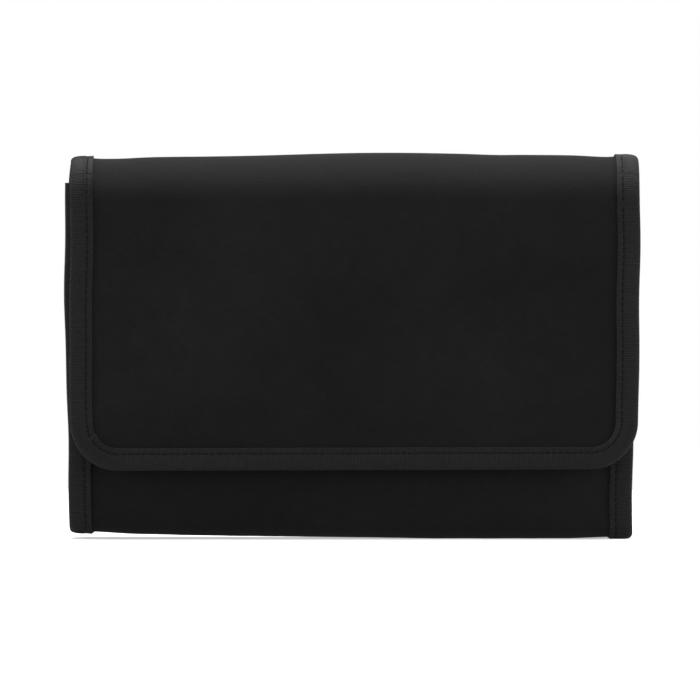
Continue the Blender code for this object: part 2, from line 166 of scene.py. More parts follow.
def area_light(name, place, target, size, power, spread):
    data = bpy.data.lights.new(name, "AREA")
    data.shape, data.size, data.size_y, data.energy = "RECTANGLE", size[0], size[1], power
    data.spread = math.radians(spread)
    light = bpy.data.objects.new(name, data)
    light.location = place
    light.rotation_euler = (Vector(target) - Vector(place)).to_track_quat("-Z", "Y").to_euler()
    add_to_scene(light)


def make_studio():
    """A white room, a broad light from above, and weaker ones in front and on both sides."""
    world = bpy.data.worlds.new("studio")
    world.use_nodes = True
    world.node_tree.nodes["Background"].inputs["Color"].default_value = (1, 1, 1, 1)
    world.node_tree.nodes["Background"].inputs["Strength"].default_value = 1.0
    scene = bpy.context.scene
    scene.world = world
    scene.view_settings.view_transform = "Standard"
    for light in LIGHTS:
        area_light(*light)

    mesh = bpy.data.meshes.new("floor")
    far, near, side = FLOOR_FAR, FLOOR_NEAR, FLOOR_SIDE
    corners = [(-side, near, 0), (side, near, 0), (side, far, 0), (-side, far, 0)]
    mesh.from_pydata(corners, [], [(0, 1, 2, 3)])
    floor = bpy.data.objects.new("floor", mesh)
    add_to_scene(floor)
    paint = Look("floor_paint", grey(0.38), 0.9, 0.1)
    paint.set("Emission Color", (1, 1, 1, 1))
    paint.set("Emission Strength", 0.45)
    paint.mottle(40.0, 0.01)
    mesh.materials.append(paint.made)


# ---- materials


class Look:
    """A Principled material whose colour, roughness and relief are added to step by step."""

    def __init__(self, name, colour, rough, specular=0.25, sheen=0.0, metallic=0.0):
        self.made = bpy.data.materials.new(name)
        self.made.use_nodes = True
        self.tree = self.made.node_tree
        self.shader = self.tree.nodes["Principled BSDF"]
        self.colour = colour
        self.set("Base Color", (*colour, 1))
        self.set("Roughness", rough)
        self.set("Specular IOR Level", specular)
        self.set("Metallic", metallic)
        self.set("Sheen Weight", sheen)
        self.set("Sheen Roughness", 0.45)

    def set(self, socket, value):
        self.shader.inputs[socket].default_value = value

    def node(self, kind, **inputs):
        made = self.tree.nodes.new(kind)
        for socket, value in inputs.items():
            made.inputs[socket.replace("_", " ")].default_value = value
        return made

    def link(self, output, target):
        self.tree.links.new(output, target)

    def math(self, operation, first, second=0.0, third=0.5):
        """The output of a Math node; each operand is a number or another node's output."""
        made = self.node("ShaderNodeMath")
        made.operation = operation
        for socket, value in zip(made.inputs, (first, second, third)):
            if isinstance(value, (int, float)):
                socket.default_value = value
            else:
                self.link(value, socket)
        return made.outputs[0]

    def flat_place(self):
        """The two coordinates along the cloth, in metres."""
        place = self.node("ShaderNodeUVMap")
        place.uv_map = "flat"
        parts = self.node("ShaderNodeSeparateXYZ")
        self.link(place.outputs["UV"], parts.inputs[0])
        return place.outputs["UV"], parts.outputs[0], parts.outputs[1]

    def wave(self, along, pitch):
        """A sine from -1 to 1 with the given pitch in metres."""
        return self.math("SINE", self.math("MULTIPLY", along, 2 * math.pi / pitch))

    def cloud(self, scale, detail=3.0, vector=None):
        made = self.node("ShaderNodeTexNoise", Scale=scale, Detail=detail)
        if vector is None:
            place = self.node("ShaderNodeTexCoord")
            vector = place.outputs["Object"]
        self.link(vector, made.inputs["Vector"])
        return made.outputs["Fac"]

    def mottle(self, scale, amount, vector=None):
        """Lets the colour vary by a share either way, in patches."""
        self.tint(self.cloud(scale, vector=vector), amount)

    def tint(self, value, amount):
        """Multiplies the colour by 1 - amount where value is 0 and 1 + amount where it is 1."""
        share = self.spread(value, 1 - amount, 1 + amount)
        mix = self.node("ShaderNodeMix")
        mix.data_type, mix.blend_type = "RGBA", "MULTIPLY"
        mix.inputs["Factor"].default_value = 1.0
        socket = self.shader.inputs["Base Color"]
        if socket.is_linked:
            self.link(socket.links[0].from_socket, mix.inputs["A"])
        else:
            mix.inputs["A"].default_value = (*self.colour, 1)
        self.link(share, mix.inputs["B"])
        self.link(mix.outputs["Result"], socket)

    def spread(self, value, low, high):
        """A value from 0 to 1 spread from low to high."""
        made = self.node("ShaderNodeMapRange", To_Min=low, To_Max=high)
        self.link(value, made.inputs["Value"])
        return made.outputs[0]

    def roughen(self, value, low, high):
        self.link(self.spread(value, low, high), self.shader.inputs["Roughness"])

    def relief(self, value, distance):
        """Adds a bump of the given height in metres."""
        bump = self.node("ShaderNodeBump", Distance=distance, Strength=1.0)
        self.link(value, bump.inputs["Height"])
        socket = self.shader.inputs["Normal"]
        if socket.is_linked:
            self.link(socket.links[0].from_socket, bump.inputs["Normal"])
        self.link(bump.outputs[0], socket)

    def weave(self, pitch, height, tint):
        """A plain weave: threads that cross over and under each other, some of them thicker, with
        painted shade where they dip under.
        """
        uv, across, along = self.flat_place()
        checks = self.math("MULTIPLY", self.wave(across, pitch), self.wave(along, pitch))
        stretch = self.node("ShaderNodeMapping", Scale=(0.35, 1.6, 1.0))
        self.link(uv, stretch.inputs["Vector"])
        slub = self.cloud(900.0, 2.0, stretch.outputs[0])
        self.relief(self.math("ADD", checks, self.math("MULTIPLY", slub, 3.0)), height)
        # painted shade: the colour is lighter where the threads rise and darker where they dip
        # under, in step with the relief
        self.tint(self.math("MULTIPLY_ADD", checks, 0.5), tint)
        self.tint(slub, 3.2 * tint)
        self.mottle(1100.0, 2.4 * tint, uv)


def weave_look(name, colour, rough, sheen, pitch, height, tint, specular=0.2):
    """Plain woven cloth, a little uneven in colour at two scales; the larger patches are painted
    light and shade.
    """
    look = Look(name, colour, rough, specular, sheen)
    look.weave(pitch, height, tint)
    # the large patches are painted light and shade, the small ones the cloth's own tone
    for scale, amount in CLOTH_TONE_AND_PAINTED_SHADE:
        look.mottle(scale, amount)
    return look.made


def grosgrain_look(name, colour, rough, sheen):
    """Ribs across the tape, crossed by fine warp threads, with painted shade in the hollows between
    the ribs.
    """
    look = Look(name, colour, rough, 0.10, sheen)
    uv, across, along = look.flat_place()
    threads = look.wave(across, 0.00028)
    look.relief(look.wave(along, RIB), 0.00010)
    look.relief(threads, 0.00001)
    # painted shade: lighter on the ribs' crests and darker in the hollows between them, in step
    # with their relief
    look.tint(look.math("MULTIPLY_ADD", look.wave(along, RIB), 0.5), 0.8)
    look.mottle(700.0, 0.6, uv)
    look.mottle(30.0, 0.25)
    return look.made


def plain_look(name, colour, rough, specular, grain, height, metallic=0.0):
    """Moulded or lacquered: fine grain in the relief and patches of wear in the roughness."""
    look = Look(name, colour, rough, specular, 0.0, metallic)
    look.relief(look.cloud(grain), height)
    look.roughen(look.cloud(WEAR_SCALE), rough - 0.08, rough + 0.12)
    look.mottle(90.0, 0.12)
    return look.made


def foam_look():
    look = Look("foam", (0.25, 0.25, 0.26), 0.95, 0.1)
    look.relief(look.cloud(2600.0), 0.0002)
    look.mottle(1500.0, 0.25)
    return look.made


def grey(value):
    return (value, value, value)


LOOKS = {
    "cloth": weave_look("cloth", grey(0.0034), 0.8, 0.02, 0.00042, 0.00008, 0.20, 0.06),
    "lining": weave_look("lining", (0.013, 0.013, 0.014), 0.6, 0.05, 0.00030, 0.00002, 0.06, 0.3),
    "zip_tape": weave_look("zip_tape", grey(0.010), 0.85, 0.05, 0.00060, 0.00006, 0.15),
    "binding": grosgrain_look("binding", grey(0.0044), 0.75, 0.03),
    "mesh": plain_look("mesh", grey(0.012), 0.75, 0.2, 2500.0, 0.00003),
    "thread": plain_look("thread", grey(0.0032), 0.8, 0.05, 3000.0, 0.00003),
    "zip_coil": plain_look("zip_coil", grey(0.016), 0.4, 0.5, 900.0, 0.00001),
    "zip_metal": plain_look("zip_metal", grey(0.03), 0.35, 0.5, 700.0, 0.00001, 0.8),
    "hook_plastic": plain_look("hook_plastic", grey(0.014), 0.42, 0.4, 1200.0, 0.00002),
    "touch_tape": plain_look("touch_tape", grey(0.011), 0.9, 0.2, 2000.0, 0.0001),
    "foam": foam_look(),
}


# ---- the strip


def ramp(value, start, end):
    """0 at start, 1 at end, smooth between."""
    t = np.clip((value - start) / (end - start), 0.0, 1.0)
    return t * t * (3 - 2 * t)


class Strip:
    """The line of the binding's outer face in the YZ plane, as lines and arcs."""

    def __init__(self):
        r, quarter = BASE_CORNER_R, math.pi / 2
        self.pieces = [
            ("line", (FLAP_Y, FLAP_HEM_Z), (FLAP_Y, ROLL_Z)),
            ("arc", (0.0, ROLL_Z), ROLL_R, math.pi, 0.0),
            ("line", (BACK_Y, ROLL_Z), (BACK_Y, r)),
            ("arc", (BACK_Y - r, r), r, 0.0, -quarter),
            ("line", (BACK_Y - r, 0.0), (FRONT_Y + r, 0.0)),
            ("arc", (FRONT_Y + r, r), r, -quarter, -2 * quarter),
            ("line", (FRONT_Y, r), (FRONT_Y, FRONT_TOP_Z)),
        ]
        lengths = [
            math.dist(p[1], p[2]) if p[0] == "line" else p[2] * abs(p[4] - p[3])
            for p in self.pieces
        ]
        self.starts = [sum(lengths[:i]) for i in range(len(lengths) + 1)]

    def at(self, u):
        """y, z and the tangent's y and z at each distance u."""
        u = np.asarray(u, float)
        y, z, ty, tz = (np.zeros(u.shape) for _ in range(4))
        for i, piece in enumerate(self.pieces):
            start, end = self.starts[i], self.starts[i + 1]
            here = (u >= start if i else u > -1) & (u <= end if i < len(self.pieces) - 1 else u < 9)
            share = (u[here] - start) / (end - start)
            if piece[0] == "line":
                (y0, z0), (y1, z1) = piece[1:]
                size = end - start
                y[here], z[here] = y0 + (y1 - y0) * share, z0 + (z1 - z0) * share
                ty[here], tz[here] = (y1 - y0) / size, (z1 - z0) / size
            else:
                (yc, zc), r, a0, a1 = piece[1:]
                a = a0 + (a1 - a0) * share
                y[here], z[here] = yc + r * np.cos(a), zc + r * np.sin(a)
                ty[here], tz[here] = np.sin(a), -np.cos(a)
        return y, z, ty, tz

    def place(self, x, u, depth):
        """Points of the worn bag at x, u and depth, moved by its own lean and slackness."""
        x, u, depth = np.broadcast_arrays(*(np.asarray(v, float) for v in (x, u, depth)))
        y, z, ty, tz = self.at(u)
        across = np.clip((x + EDGE_X) / (2 * EDGE_X), 0.0, 1.0)
        crown_u = (ROLL_START + ROLL_END) / 2
        flap = 1 - ramp(u, crown_u, ROLL_END)
        behind = 1 - flap
        wander = sum(size * np.sin(u * rate + turn) for size, rate, turn in WANDERS)
        round_corner = 0.0014 * (1 - ramp(u, 0.004, 0.045)) * ramp(x, 0.085, 0.125)
        shift_flap = FLAP_SHIFT + FLAP_LEAN * x - round_corner
        taper = BEHIND_TAPER * ramp(z, -0.02, 0.12) * (1 - across)
        shift_behind = BEHIND_SHIFT + BEHIND_LEAN * x + taper
        moved_x = x + flap * shift_flap + behind * shift_behind + wander
        crown = np.where((u > ROLL_START) & (u < ROLL_END), np.maximum(ty, 0.0), 0.0)
        bow = BOW_HEIGHT * np.exp(-(((x - 0.003) / 0.052) ** 2)) + BOW_BASE
        bow = bow + BOW_TILT * ramp(x, -0.05, 0.05)
        bow = bow + BOW_SHOULDER + BOW_SHOULDER * ramp(np.abs(x), 0.111, 0.117)
        low = (1 - ramp(z, 0.0, 0.07)) * behind
        sag = BOTTOM_SAG * np.exp(-(((across - 0.76) / 0.15) ** 2))
        lift = CORNER_LIFT * (1 - across) ** 2.6 - sag
        hem = (1 - ramp(u, 0.0, 0.07)) * HEM_LIFT * across
        moved_z = z - depth * ty + crown * bow + low * np.maximum(lift, -0.0001) + hem
        return np.stack([moved_x, y + depth * tz, moved_z], -1)

    def middle(self, u):
        """The strip's own point at x 0, as a tuple."""
        y, z, _, _ = self.at(np.array([u]))
        return (0.0, float(y[0]), float(z[0]))


strip = Strip()
ROLL_START, ROLL_END = strip.starts[1], strip.starts[2]
BACK_END, BASE_START, BASE_END, FRONT_START, STRIP_END = strip.starts[3:8]
ROLL_STEP = (ROLL_END - ROLL_START) / ROLL_FOLDS
ROLL_BODIES = ["flap"] + [f"roll_{n}" for n in reversed(range(1, ROLL_FOLDS))] + ["back"]
BASE_MIDDLE = (BASE_START + BASE_END) / 2
BASE_REACH = 0.004



def roll_stretch(i):
    """One fold of the rounded top; they are counted from the flap here and named from the back."""
    start, end = ROLL_START + i * ROLL_STEP, ROLL_START + (i + 1) * ROLL_STEP
    return (f"fold_{ROLL_FOLDS - i}", tuple(ROLL_BODIES[i : i + 2]), start, end)


# name, bodies, start and end along the strip; a stretch with two bodies lies between them
STRETCHES = [
    ("flap", ("flap",), 0.0, ROLL_START),
    *(roll_stretch(i) for i in range(ROLL_FOLDS)),
    ("back", ("back",), ROLL_END, BACK_END - BASE_REACH),
    ("base_back", ("back", "base"), BACK_END - BASE_REACH, BASE_MIDDLE),
    ("base_front", ("base", "front"), BASE_MIDDLE, FRONT_START + BASE_REACH),
    ("front", ("front",), FRONT_START + BASE_REACH, STRIP_END),
]


def padded_share(u):
    """1 on the stiffened tiers, 0 on the folds and the flap."""
    back_on = ROLL_END - ROLL_STEP / 2
    turn = 0.008
    back_off = 1 - ramp(u, BASE_START - turn / 2, BASE_START + turn / 2)
    back = ramp(u, back_on, back_on + turn) * back_off
    front = ramp(u, BASE_END - turn / 2, BASE_END + turn / 2)
    return np.maximum(back, front)


def cloth_depth(u):
    return CLOTH_DEPTH


def lining_depth(u):
    return THIN_LINING_DEPTH + (THICK_LINING_DEPTH - THIN_LINING_DEPTH) * padded_share(u)


def binding_thickness(u):
    return THIN_BINDING + (THICK_BINDING - THIN_BINDING) * padded_share(u)


def soft_noise(x, u, scale, seed):
    """Smooth noise from -1 to 1 at each point of the cloth; scale is (across, along) per metre."""
    flat = zip(np.ravel(x) * scale[0], np.ravel(u) * scale[1])
    return np.array([noise.noise(Vector((a, b, seed))) for a, b in flat]).reshape(np.shape(x))


def simulate_cloth():
    """Lets the outer cloth settle, laid out flat, sewn at its edges and a little full inside them.

    Returns the values of x and u of its grid and how far it stands up at each point.
    """
    cols, rows = round(2 * EDGE_X / SETTLE_GRID), round(STRIP_END / SETTLE_GRID)
    across, along = np.linspace(-EDGE_X, EDGE_X, cols + 1), np.linspace(0.0, STRIP_END, rows + 1)
    u, x = np.meshgrid(along, across, indexing="ij")
    start = 0.0006 * soft_noise(x, u, (13.0, 9.0), 5.5)
    mesh = bpy.data.meshes.new("laid_out")
    points = np.stack([x, u, start], -1).reshape(-1, 3)
    mesh.from_pydata(points.tolist(), [], grid_faces(rows + 1, cols + 1))
    laid = bpy.data.objects.new("laid_out", mesh)
    scene = bpy.context.scene
    add_to_scene(laid)
    sewn = laid.vertex_groups.new(name="sewn")
    margin = BINDING_WIDTH - 0.001
    edge = (np.abs(x) > EDGE_X - margin) | (u < margin) | (u > STRIP_END - margin)
    fold = (u > BASE_START) & (u < BASE_END)
    for held, weight in ((edge, 1.0), (fold & ~edge, 0.6)):
        sewn.add(np.flatnonzero(held.ravel()).tolist(), weight, "REPLACE")
    change = laid.modifiers.new("settle", "CLOTH")
    cloth = change.settings
    cloth.quality = 6
    cloth.mass = 0.12
    cloth.tension_stiffness = cloth.compression_stiffness = 12.0
    cloth.shear_stiffness = 8.0
    cloth.bending_stiffness = 3.0
    cloth.vertex_group_mass = "sewn"
    cloth.shrink_min = -0.006
    cloth.use_pressure = True
    cloth.uniform_pressure_force = 0.25
    cloth.effector_weights.gravity = 0.0
    for number in range(1, SETTLE_FRAMES + 1):
        scene.frame_set(number)
    settled = laid.evaluated_get(bpy.context.evaluated_depsgraph_get()).to_mesh()
    height = np.array([v.co.z for v in settled.vertices]).reshape(rows + 1, cols + 1)
    scene.frame_set(1)
    bpy.data.objects.remove(laid)
    return across, along, height


def between(across, along, height, x, u):
    """The height at any x and u, from the grid's four nearest points."""
    j = np.clip((x - across[0]) / (across[1] - across[0]), 0, len(across) - 1.001)
    i = np.clip((u - along[0]) / (along[1] - along[0]), 0, len(along) - 1.001)
    j0, i0 = j.astype(int), i.astype(int)
    s, t = j - j0, i - i0
    low = height[i0, j0] * (1 - s) + height[i0, j0 + 1] * s
    high = height[i0 + 1, j0] * (1 - s) + height[i0 + 1, j0 + 1] * s
    return low * (1 - t) + high * t


def cloth_swell(x, u):
    """How far the outer cloth stands out of its flat place: nothing at the bindings."""
    inner = EDGE_X - BINDING_WIDTH
    side = 1 - ramp(np.abs(x), inner - 0.02, inner)
    hem = ramp(u, BINDING_WIDTH, 0.035) * (1 - ramp(u, STRIP_END - 0.03, STRIP_END - BINDING_WIDTH))
    past_crown = ramp(u, ROLL_END, ROLL_END + ROLL_R)
    on_crown = 1 - 0.5 * ramp(u, ROLL_START, ROLL_START + ROLL_R) * (1 - past_crown)
    if settled_cloth is None:
        height = 0.0006 + 0.0005 * soft_noise(x, u, (11.0, 8.0), 3.7)
    else:
        height = between(*settled_cloth, x, u)
    flap_only = 1 - ramp(u, 0.09, 0.13)
    left = np.exp(-(((x + 0.085) / 0.032) ** 2) - ((u - 0.022) / 0.024) ** 2)
    right = np.exp(-(((x - 0.096) / 0.026) ** 2) - ((u - 0.030) / 0.028) ** 2)
    band = np.exp(-(((x + 0.035 + 0.8 * (u - 0.06)) / 0.020) ** 2)) * ramp(u, 0.03, 0.06)
    curl = flap_only * (LEFT_CURL * left + RIGHT_CURL * right + BAND_CURL * band)
    soft = SWELL_CAP * np.tanh(np.maximum(height, 0.0) / SWELL_CAP)
    on_base = ramp(u, BACK_END - 0.03, BACK_END) * (1 - ramp(u, FRONT_START, FRONT_START + 0.03))
    return side * hem * (on_crown * (1 - 0.9 * on_base) * soft + curl + BASE_SAG * on_base)


def cloth_rise(x, u):
    """The outer cloth's swell as a depth, which is less than nothing where it stands out."""
    return -cloth_swell(x, u)


def lining_swell(x, u):
    """The lining's slackness, towards the inside of the bag."""
    inner = EDGE_X - BINDING_WIDTH
    side = 1 - ramp(np.abs(x), inner - 0.03, inner)
    hem = ramp(u, BINDING_WIDTH, 0.04) * (1 - ramp(u, STRIP_END - 0.04, STRIP_END - BINDING_WIDTH))
    return 0.0005 * side * hem * (0.5 + 0.5 * soft_noise(x, u, (17.0, 15.0), 21.3))


# ---- making pieces


def add_piece(name, points, faces, flat, looks, face_looks=None, smooth=True):
    """A mesh object with its flat coordinates in a UV layer."""
    mesh = bpy.data.meshes.new(name)
    mesh.from_pydata(np.asarray(points).reshape(-1, 3).tolist(), [], faces)
    layer = mesh.uv_layers.new(name="flat")
    corner = np.zeros(len(mesh.loops), np.int32)
    mesh.loops.foreach_get("vertex_index", corner)
    layer.data.foreach_set("uv", np.asarray(flat, np.float32).reshape(-1, 2)[corner].ravel())
    for look in looks:
        mesh.materials.append(LOOKS[look])
    if face_looks is not None:
        mesh.polygons.foreach_set("material_index", np.asarray(face_looks, np.int32))
    if smooth:
        mesh.shade_smooth()
        mesh.set_sharp_from_angle(angle=math.radians(50))
    obj = bpy.data.objects.new(name, mesh)
    add_to_scene(obj)
    return obj


def stand_in(piece, slot, body, *nodes):
    """Puts a piece on the body it rides on and hides the CAD nodes it stands for; slot, its finish,
    is not used.
    """
    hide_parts(*nodes)
    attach(piece, body)


def thicken(piece, thickness):
    """Gives an open sheet its thickness, half on each side."""
    change = piece.modifiers.new("thickness", "SOLIDIFY")
    change.thickness, change.offset = thickness, 0.0


def grid_faces(rows, cols, wrap=False):
    """Quads between rows of cols points; wrap closes each row into a ring."""
    faces = []
    last = cols if wrap else cols - 1
    for i in range(rows - 1):
        for j in range(last):
            k = (j + 1) % cols
            faces.append((i * cols + j, i * cols + k, (i + 1) * cols + k, (i + 1) * cols + j))
    return faces


def shell_faces(rows, cols):
    """Faces of a closed sheet whose outer points come first and inner ones second."""
    count = rows * cols
    outer = grid_faces(rows, cols)
    inner = [tuple(count + i for i in reversed(face)) for face in outer]
    border = [j for j in range(cols)] + [i * cols + cols - 1 for i in range(1, rows)]
    border += [(rows - 1) * cols + j for j in reversed(range(cols - 1))]
    border += [i * cols for i in reversed(range(1, rows - 1))]
    rim = [(b, a, a + count, b + count) for a, b in zip(border, border[1:] + border[:1])]
    return outer + inner + rim


def stations(first, last, step):
    """Even distances with one more close to each end, where two pieces meet."""
    even = np.linspace(first, last, max(3, round((last - first) / step)) + 1)
    close = 0.00015
    return np.concatenate([[first, first + close], even[1:-1], [last - close, last]])


def follow(obj, bodies, u0, u1):
    """Rides on one body; a piece between two bodies only has its place baked into its points."""
    if len(bodies) == 1:
        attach(obj, bodies[0])
        return
    inset = 0.12 * (u1 - u0)
    start, end = strip.middle(u0 + inset), strip.middle(u1 - inset)
    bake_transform(obj)


def flap_half_width(u, inset):
    """Half the width of a sheet whose corners at the start of the strip are rounded."""
    corner = FLAP_CORNER_R - inset
    short = np.clip(corner - (u - inset), 0.0, corner)
    return EDGE_X - inset - corner + np.sqrt(np.maximum(corner**2 - short**2, 0.0))


def strip_sheet(kind, stretch, depth, thickness, swell):
    """One stretch of the outer cloth or of the lining."""
    name, bodies, u0, u1 = stretch
    inset = CLOTH_DEPTH
    first = u0 + inset + 0.0002 if name == "flap" else u0
    last = u1 - inset if name == "front" else u1
    along = stations(first, last, GRID if len(bodies) == 1 else FOLD_GRID)
    cols = round(2 * EDGE_X / GRID)
    u, share = np.meshgrid(along, np.linspace(-1, 1, cols + 1), indexing="ij")
    x = share * flap_half_width(u, inset)
    outer = depth(u) + swell(x, u)
    points = [strip.place(x, u, outer), strip.place(x, u, outer + thickness)]
    flat = np.stack([x, u], -1)
    faces = shell_faces(len(along), cols + 1)
    piece = add_piece(f"{kind}_{name}", np.stack(points), faces, np.stack([flat, flat]), [kind])
    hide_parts(*(f"{body}_{kind}" for body in bodies))
    follow(piece, bodies, u0, u1)
    return piece


# ---- bindings


def tape_section(thick):
    """Outer and inner outline of the folded tape as (inward from the edge, depth) pairs.

    The outer one starts at the tape's edge on the outside, where a selvedge stands up and a
    stitched groove runs beside it, rounds the bag's edge and ends at the tape's other edge.
    """
    w, s = BINDING_WIDTH, STITCH_INSET
    half = [
        (w, 0.00030), (w - 0.0001, -0.00002), (w - 0.0005, -0.00010), (w - 0.0011, 0.00002),
        (w - s + 0.0006, 0.0), (w - s + 0.0002, 0.00024), (w - s - 0.0002, 0.00024),
        (w - s - 0.0006, 0.0), (w - s - 0.0018, -0.00006), (w - s - 0.0032, -0.00002),
        (0.0031, 0.00010), (0.0020, 0.00028), (0.0011, 0.00058), (0.0004, 0.00110),
    ]
    outer = half + [(0.0, thick / 2)] + [(a, thick - b) for a, b in reversed(half)]
    t = TAPE
    inner_half = [(w, t), (w - 0.004, t), (0.0022, t), (0.0012, t + 0.0004)]
    inner = inner_half + [(t, thick / 2)] + [(a, thick - b) for a, b in reversed(inner_half)]
    return outer, inner


def tape_ends(route):
    """Distance along the route at each of its stations."""
    sizes = [0.0]
    for (x0, u0, _, _), (x1, u1, _, _) in zip(route, route[1:]):
        sizes.append(sizes[-1] + math.hypot(x1 - x0, u1 - u0))
    return sizes


def tape_run(name, route, thickness_at, pucker=None, closed=False):
    """Folded tape along a route of (x, u, inward x, inward u) stations, with its stitches.

    A closed one has its last end turned in and sewn shut, where no other piece carries it on.
    """
    run = tape_ends(route)
    points, flat = [], []
    for i, ((x, u, dx, du), distance) in enumerate(zip(route, run)):
        thick = float(thickness_at(u))
        outer, inner = tape_section(thick)
        rise = RIB_RISE if i % 2 else -RIB_RISE
        gather = pucker(distance) if pucker else 0.0
        ring = []
        for a, b in outer:
            side = 1 - 2 * b / thick
            wave = gather * max(0.0, a / BINDING_WIDTH - 0.35)
            ring.append((a - rise * (1 - abs(side)), b - (rise + wave) * side))
        ring += list(reversed(inner))
        a, b = np.array(ring).T
        points.append(strip.place(x + dx * a, u + du * a, b))
        lengths = np.cumsum([0.0] + [math.dist(p, q) for p, q in zip(ring, ring[1:])])
        flat.append(np.stack([lengths, np.full(len(ring), distance)], -1))
    count = len(points[0])
    faces = grid_faces(len(points), count, wrap=True)
    last = (len(points) - 1) * count
    faces += [tuple(range(count)), tuple(reversed(range(last, last + count)))]
    points, flat = np.concatenate(points), np.concatenate(flat)
    if closed:
        x, u, dx, du = route[-1]
        a, b = np.array(tape_section(float(thickness_at(u)))[0]).T
        turned = [strip.place(x + dx * a, u + step, b) for step in (-0.0005, 0.0002)]
        start, count = len(points), len(a)
        shut = [(k, k + 1, count - 2 - k, count - 1 - k) for k in range(count // 2)]
        shut += [tuple(count + k for k in reversed(face)) for face in shut]
        faces += [tuple(start + k for k in face) for face in grid_faces(2, count, wrap=True) + shut]
        points = np.concatenate([points, *turned])
        flat = np.concatenate([flat, np.stack([a, b], -1), np.stack([a, b], -1)])
    looks = [0] * len(faces)
    more, more_faces = stitches(route, run, thickness_at, len(points))
    points = np.concatenate([points, more])
    flat = np.concatenate([flat, np.zeros((len(more), 2))])
    faces += more_faces
    looks += [1] * len(more_faces)
    piece = add_piece(name, points, faces, flat, ["binding", "thread"], looks)
    return piece


def stitches(route, run, thickness_at, first):
    """Short threads in the tape's groove on both faces; first is the first point's index."""
    points, faces = [], []
    along = np.array(route)
    sides, shape = THREAD_SIDES, [(-0.34, 0.4), (-0.26, 1.0), (0.26, 1.0), (0.34, 0.4)]
    a = BINDING_WIDTH - STITCH_INSET
    for n in range(int(run[-1] / STITCH)):
        centre = (n + 0.5) * STITCH
        for face in (0, 1):
            rings = []
            for offset, swell in shape:
                here = centre + offset * STITCH
                x, u, dx, du = (np.interp(here, run, along[:, k]) for k in range(4))
                thick = float(thickness_at(u))
                ring = []
                for k in range(sides):
                    turn = 2 * math.pi * k / sides
                    inward = a + THREAD_R * swell * math.cos(turn)
                    depth = THREAD_DEPTH + THREAD_R * swell * math.sin(turn)
                    depth = thick - depth if face else depth
                    ring.append((x + dx * inward, u + du * inward, depth))
                rings.append(ring)
            start = first + len(points)
            points += [p for ring in rings for p in ring]
            faces += [tuple(start + i for i in f) for f in grid_faces(len(shape), sides, wrap=True)]
            faces.append(tuple(start + i for i in range(sides)))
            end = start + (len(shape) - 1) * sides
            faces.append(tuple(end + i for i in reversed(range(sides))))
    x, u, depth = np.array(points).T
    return strip.place(x, u, depth), faces


def side_route(side, u0, u1):
    count = max(2, round((u1 - u0) / (RIB / 2)))
    return [(side * EDGE_X, u, -side, 0.0) for u in np.linspace(u0, u1, count + 1)]


def flap_route():
    """Down the left edge, round the free edge and up the right."""
    r = FLAP_CORNER_R
    left = list(reversed(side_route(-1, r, ROLL_START)))
    steps = round(r * math.pi / 2 / (RIB / 2))
    corner = []
    for i in range(1, steps):
        t = math.pi / 2 * i / steps
        out_x, out_u = -math.cos(t), -math.sin(t)
        corner.append((-EDGE_X + r + r * out_x, r + r * out_u, -out_x, -out_u))
    reach = EDGE_X - r
    count = round(2 * reach / (RIB / 2)) + 1
    straight = [(x, 0.0, 0.0, 1.0) for x in np.linspace(-reach, reach, count)]
    other = [(-x, u, -dx, du) for x, u, dx, du in reversed(left + corner)]
    return left + corner + straight + other


def flap_pucker(distance):
    """How the tape's inner edge gathers where it rounds the flap's two corners."""
    arc = FLAP_CORNER_R * math.pi / 2
    first = ROLL_START - FLAP_CORNER_R
    second = first + arc + 2 * (EDGE_X - FLAP_CORNER_R)
    for start in (first, second):
        share = (distance - start) / arc
        if 0 < share < 1:
            wave = math.sin(distance / PUCKER_PITCH * 2 * math.pi)
            return PUCKER_HEIGHT * math.sin(math.pi * share) * wave
    return 0.0


def make_bindings():
    made = tape_run("binding_flap", flap_route(), binding_thickness, flap_pucker)
    make_tuck()
    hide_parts("flap_binding")
    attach(made, "flap")
    for name, bodies, u0, u1 in STRETCHES[1:]:
        for side, word in ((-1, "left"), (1, "right")):
            route, closed = side_route(side, u0, u1), name == "front"
            piece = tape_run(f"binding_{name}_{word}", route, binding_thickness, closed=closed)
            tiers = [body for body in bodies if body != "flap"]
            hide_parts(*(f"{tier}_binding_{word}" for tier in tiers))
            follow(piece, bodies, u0, u1)


def make_tuck():
    """The small diagonal fold at the flap's lower left, where its tape starts and finishes."""
    ends = ((-0.1170, 0.0138), (-0.1133, 0.0158))
    rows, cols, width = 12, 9, 0.0008
    along = np.linspace(0, 1, rows)[:, None] * np.ones(cols)
    across = np.ones((rows, 1)) * np.linspace(-1, 1, cols)
    dx, du = (ends[1][i] - ends[0][i] for i in (0, 1))
    size = math.hypot(dx, du)
    x = ends[0][0] + dx * along - du / size * width * across
    u = ends[0][1] + du * along + dx / size * width * across
    taper = np.minimum(1, 6 * np.minimum(along, 1 - along) + 0.25)
    height = 0.00045 * np.sqrt(1 - 0.98 * across**2) * taper
    base = np.full_like(x, 0.0004)
    points = np.stack([strip.place(x, u, -height), strip.place(x, u, base)])
    flat = np.stack([across * width, along * size], -1)
    faces = shell_faces(rows, cols)
    piece = add_piece("binding_flap_tuck", points, faces, np.stack([flat, flat]), ["binding"])
    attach(piece, "flap")


def make_front_hem():
    """The tape along the front tier's free edge, between its side tapes."""
    half = EDGE_X - BINDING_WIDTH - 0.0003
    count = round(2 * half / (RIB / 2)) + 1
    route = [(x, STRIP_END, 0.0, -1.0) for x in np.linspace(-half, half, count)]
    piece = tape_run("binding_front_hem", route, binding_thickness)
    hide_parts("front_hem")
    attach(piece, "front")


# ---- closure


